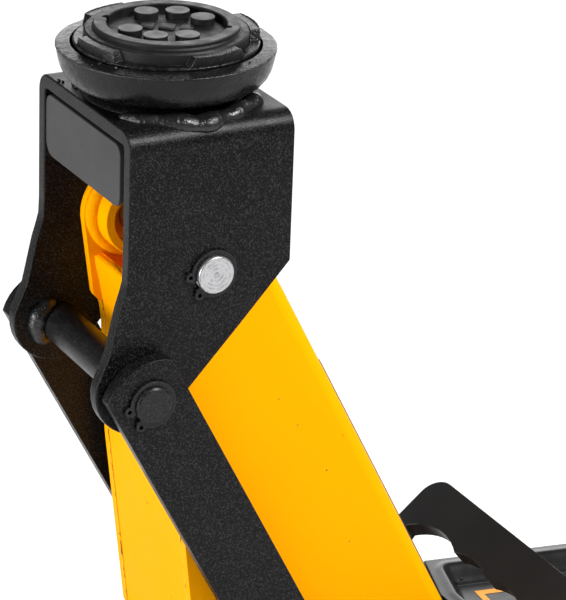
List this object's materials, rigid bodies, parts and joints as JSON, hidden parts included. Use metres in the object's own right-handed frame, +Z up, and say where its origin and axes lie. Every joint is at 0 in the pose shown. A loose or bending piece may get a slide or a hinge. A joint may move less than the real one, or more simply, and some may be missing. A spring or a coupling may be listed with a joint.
{
  "type": "hydraulic trolley jack",
  "caption": "High-lift hydraulic trolley jack: yellow lift arm and black parallel links keep a rubber-padded swivel saddle level; rollers, castors, pump and handle.",
  "frame": {"origin": "on the floor under the middle of the bounding box, in the jack's plane of symmetry", "axes": "+X towards the saddle end, +Y to the jack's left, +Z up"},
  "size_m": [1.1394, 0.324, 0.7034],
  "materials": {
    "cast_black": "satin black paint on a casting",
    "pad_rubber": "matte moulded rubber",
    "zinc_steel": "bright zinc plate",
    "black_powder": "fine textured black powder coat",
    "panel_grey": "smooth dark grey paint",
    "black_oxide": "black oxide",
    "arm_yellow": "glossy amber yellow paint",
    "bright_steel": "ground and polished",
    "spring_steel": "oiled spring wire",
    "cast_iron": "machined casting",
    "tank_black": "gloss black paint",
    "cover_black": "satin black paint",
    "grip_moulding": "smooth charcoal moulding",
    "wheel_black": "painted cast wheel",
    "handle_tube": "satin black paint",
    "grip_foam": "closed-cell foam"
  },
  "bodies": {
    "chassis": {"frame_side_left": "black_powder", "frame_side_right": "black_powder", "base_plate": "black_powder", "top_cover": "cover_black", "cover_screws": "zinc_steel", "carry_handle": "grip_moulding", "carry_screws": "zinc_steel", "pivot_shaft": "zinc_steel", "pivot_nuts": "zinc_steel", "anchor_pins": "zinc_steel", "anchor_sleeves": "black_powder", "axle_bolts": "zinc_steel", "axle_nuts": "zinc_steel", "ram_cylinder": "cast_iron", "reservoir": "tank_black", "pump_block": "cast_iron", "pump_bolts": "zinc_steel", "filler_plug": "tank_black", "castor_wings": "black_powder", "socket_pins": "zinc_steel", "return_spring_left": "spring_steel", "return_spring_right": "spring_steel", "plunger_spring": "spring_steel"},
    "lift_arm": {"arm_channel": "arm_yellow", "arm_front_plate": "arm_yellow", "arm_tip_bushes": "arm_yellow", "arm_pivot_tube": "arm_yellow", "lever_pin": "zinc_steel"},
    "carrier": {"saddle_bracket": "black_powder", "bracket_front_plate": "panel_grey", "saddle_collar": "black_powder", "tip_pin": "zinc_steel", "tip_circlips": "black_oxide", "link_pin": "black_oxide", "link_circlips": "black_oxide"},
    "saddle": {"saddle_bowl": "cast_black", "saddle_insert": "cast_black", "rubber_pad": "pad_rubber", "saddle_clip": "zinc_steel"},
    "link_left": {"link_bar_left": "black_powder"},
    "link_right": {"link_bar_right": "black_powder"},
    "ram": {"ram_rod": "bright_steel", "ram_yoke": "cast_iron"},
    "socket": {"handle_socket": "black_powder", "pump_roller": "zinc_steel"},
    "handle": {"handle_lower_tube": "handle_tube", "handle_upper_tube": "handle_tube", "foam_grip": "grip_foam", "drive_rod": "zinc_steel"},
    "plunger": {"pump_plunger": "bright_steel"},
    "valve": {"release_spindle": "zinc_steel"},
    "front_roller_left": {"front_wheel_left": "wheel_black"},
    "front_roller_right": {"front_wheel_right": "wheel_black"},
    "castor_left": {"castor_fork_left": "zinc_steel", "castor_axle_left": "zinc_steel"},
    "castor_right": {"castor_fork_right": "zinc_steel", "castor_axle_right": "zinc_steel"},
    "castor_roller_left": {"castor_wheel_left": "wheel_black"},
    "castor_roller_right": {"castor_wheel_right": "wheel_black"}
  },
  "joints": [
    {"name": "lift", "type": "hinge", "parent": "chassis", "child": "lift_arm", "pos_m": [0.24969, 0, 0.13], "axis": [0, 1, 0], "range_deg": [0, 67.3]},
    {"name": "carrier_level", "type": "hinge", "parent": "lift_arm", "child": "carrier", "pos_m": [0.4036, 0, 0.42191], "axis": [0, 1, 0], "range_deg": [-67.4, 0]},
    {"name": "saddle_swivel", "type": "hinge", "parent": "carrier", "child": "saddle", "pos_m": [0.405, 0, 0.50111], "axis": [0, 0, 1], "continuous": true},
    {"name": "link_left_swing", "type": "hinge", "parent": "chassis", "child": "link_left", "pos_m": [0.28799, 0, 0.0699], "axis": [0, 1, 0], "range_deg": [0, 67.4]},
    {"name": "link_right_swing", "type": "hinge", "parent": "chassis", "child": "link_right", "pos_m": [0.28799, 0, 0.0699], "axis": [0, 1, 0], "range_deg": [0, 67.4]},
    {"name": "ram_travel", "type": "slide", "parent": "chassis", "child": "ram", "axis": [1, 0, 0], "range_m": [-0.0535, 0], "deforming": ["return_spring_left", "return_spring_right"]},
    {"name": "handle_pump", "type": "hinge", "parent": "chassis", "child": "socket", "pos_m": [-0.10031, 0, 0.15], "axis": [0, 1, 0], "range_deg": [-35, 30]},
    {"name": "plunger_stroke", "type": "slide", "parent": "chassis", "child": "plunger", "axis": [0, 0, 1], "range_m": [-0.0161, 0.0138], "deforming": ["plunger_spring"]},
    {"name": "handle_twist", "type": "hinge", "parent": "socket", "child": "handle", "pos_m": [-0.10031, 0, 0.15], "axis": [-0.6428, 0, 0.766], "range_deg": [0, 120]},
    {"name": "valve_turn", "type": "hinge", "parent": "chassis", "child": "valve", "pos_m": [-0.10031, 0, 0.1], "axis": [0, 0, 1], "range_deg": [0, 121]},
    {"name": "front_roller_left_spin", "type": "hinge", "parent": "chassis", "child": "front_roller_left", "pos_m": [0.52469, 0.116, 0.045], "axis": [0, 1, 0], "continuous": true},
    {"name": "front_roller_right_spin", "type": "hinge", "parent": "chassis", "child": "front_roller_right", "pos_m": [0.52469, -0.116, 0.045], "axis": [0, 1, 0], "continuous": true},
    {"name": "castor_left_swivel", "type": "hinge", "parent": "chassis", "child": "castor_left", "pos_m": [-0.14231, 0.136, 0.08], "axis": [0, 0, 1], "continuous": true},
    {"name": "castor_right_swivel", "type": "hinge", "parent": "chassis", "child": "castor_right", "pos_m": [-0.14231, -0.136, 0.08], "axis": [0, 0, 1], "continuous": true},
    {"name": "castor_left_spin", "type": "hinge", "parent": "castor_left", "child": "castor_roller_left", "pos_m": [-0.15631, 0.136, 0.025], "axis": [0, 1, 0], "continuous": true},
    {"name": "castor_right_spin", "type": "hinge", "parent": "castor_right", "child": "castor_roller_right", "pos_m": [-0.15631, -0.136, 0.025], "axis": [0, 1, 0], "continuous": true}
  ],
  "couplings": [
    {"joint": "carrier_level", "follows": "lift", "ratio": -1},
    {"joint": "link_left_swing", "follows": "lift", "ratio": 1},
    {"joint": "link_right_swing", "follows": "lift", "ratio": 1},
    {"joint": "ram_travel", "follows": "lift", "m_per_rad": -0.04529},
    {"joint": "plunger_stroke", "follows": "handle_pump", "m_per_rad": 0.026},
    {"joint": "valve_turn", "follows": "handle_twist", "ratio": 1}
  ]
}
